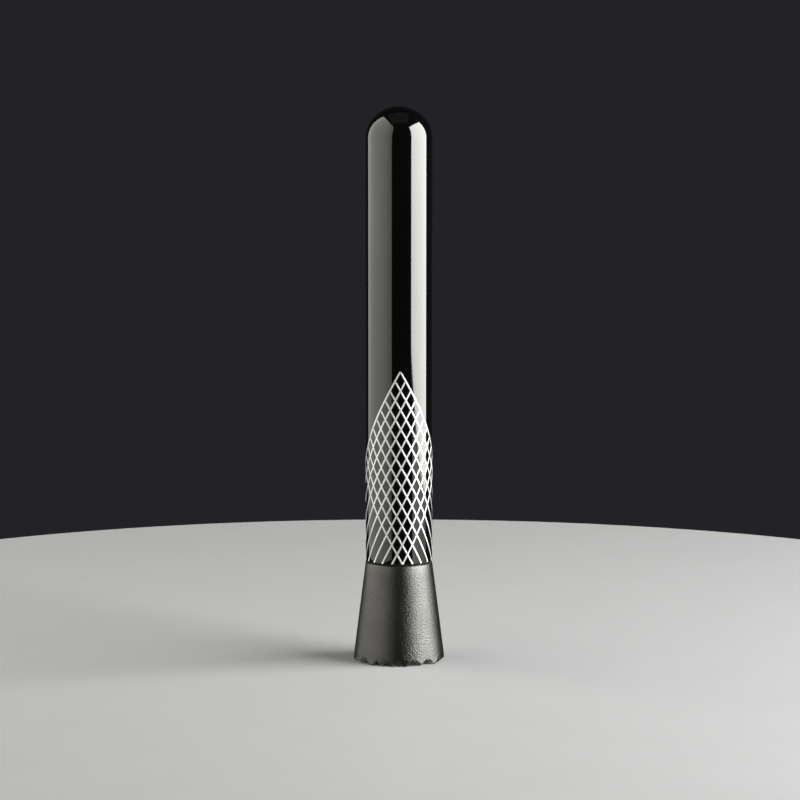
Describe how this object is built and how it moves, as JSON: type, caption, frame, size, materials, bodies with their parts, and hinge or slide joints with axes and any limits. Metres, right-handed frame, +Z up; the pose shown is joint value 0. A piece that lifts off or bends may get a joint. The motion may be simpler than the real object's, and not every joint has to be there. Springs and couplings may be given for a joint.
{
  "type": "muddler",
  "caption": "Upright bar muddler with a domed steel tube handle that screws off a flared head with a toothed underside.",
  "frame": {"origin": "centre of the underside, on the plane of the tooth tips", "axes": "+Z up along the axis from the teeth to the domed end; -Y faces the middle of one lattice kite"},
  "size_m": [0.0348, 0.0348, 0.2125],
  "materials": {
    "tube_steel": "dark mirror polish with an etched white lattice",
    "head_metal": "fine blasted satin, dark",
    "insert_brass": "turned and knurled",
    "plug_steel": "turned",
    "seal_rubber": "matte black"
  },
  "bodies": {
    "head": {"head": "head_metal", "thread_insert": "insert_brass"},
    "seal": {"seal_washer": "seal_rubber"},
    "handle": {"tube": "tube_steel", "end_plug": "plug_steel", "o_ring": "seal_rubber", "stud": "plug_steel", "lock_washer": "plug_steel", "lock_nut": "plug_steel"}
  },
  "joints": [
    {"name": "handle_lift", "type": "slide", "parent": "head", "child": "seal", "axis": [0, 0, 1], "range_m": [0, 0.012]},
    {"name": "handle_screw", "type": "hinge", "parent": "seal", "child": "handle", "pos_m": [0, 0, 0.0384], "axis": [0, 0, 1], "range_deg": [0, 2880]}
  ],
  "couplings": [
    {"joint": "handle_screw", "follows": "handle_lift", "rad_per_m": 4188.8}
  ]
}
